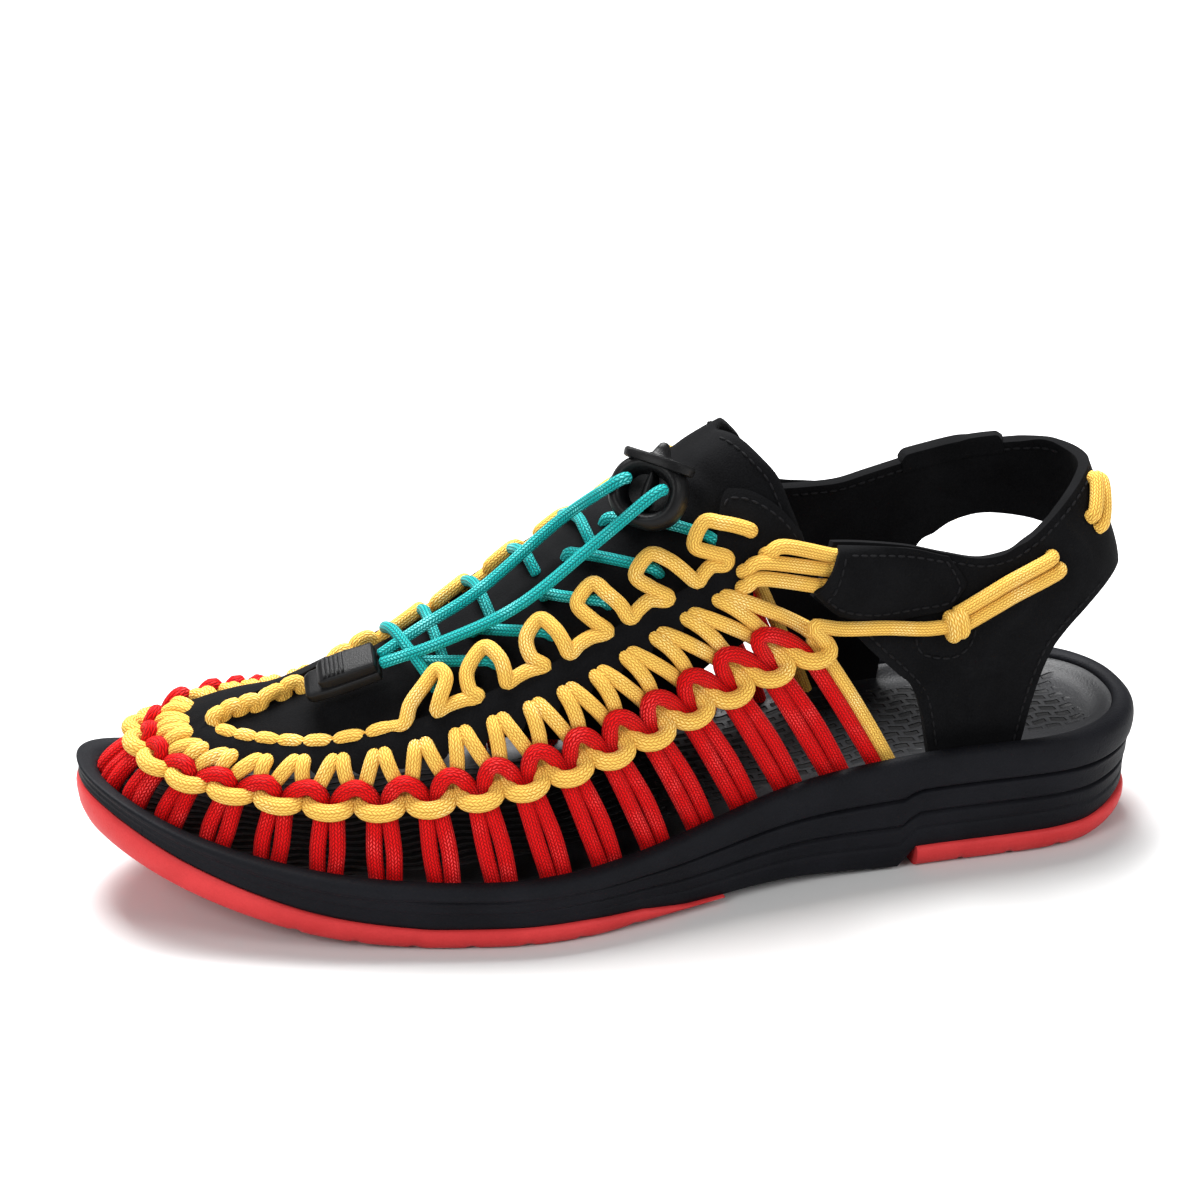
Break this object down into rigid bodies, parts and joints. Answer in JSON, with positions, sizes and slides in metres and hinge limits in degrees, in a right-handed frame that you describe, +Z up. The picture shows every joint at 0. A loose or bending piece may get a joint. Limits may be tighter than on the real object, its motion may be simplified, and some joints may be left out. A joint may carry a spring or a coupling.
{
  "type": "woven sandal",
  "caption": "Left sandal with a woven cord upper, instep band with elastic lace and cord lock, heel strap, footbed and ribbed two-pad rubber sole.",
  "frame": {"origin": "middle of the shoe's box on the floor under the sole", "axes": "+X to the toe, +Y to the lateral side, +Z up"},
  "size_m": [0.285, 0.1068, 0.1214],
  "materials": {
    "red_rubber": "matte tread rubber",
    "black_rubber": "matte moulded foam rubber",
    "footbed_foam": "matte textured foam",
    "red_cord": "round braided cord",
    "yellow_cord": "round braided cord",
    "teal_lace": "braided elastic lace",
    "black_microfibre": "soft brushed microfibre",
    "black_plastic": "satin moulded plastic"
  },
  "bodies": {
    "root": {"outsole_forefoot": "red_rubber", "outsole_heel": "red_rubber", "midsole": "black_rubber", "insole": "footbed_foam", "upper_cord_weave": "red_cord", "upper_instep_band": "black_microfibre", "tongue": "black_microfibre", "upper_heel_strap": "black_microfibre", "strap_pocket_lateral": "black_microfibre", "strap_pocket_medial": "black_microfibre", "throat_cord": "yellow_cord", "ankle_cords_lateral": "yellow_cord", "ankle_cords_medial": "yellow_cord", "heel_lash_lateral": "yellow_cord", "heel_lash_medial": "yellow_cord", "heel_lash_back": "yellow_cord", "lace_bars": "teal_lace", "lace_tail_lateral": "teal_lace", "lace_tail_medial": "teal_lace", "cord_lock_body": "black_plastic", "cord_lock_button": "black_plastic", "lace_clip": "black_plastic"}
  },
  "joints": []
}
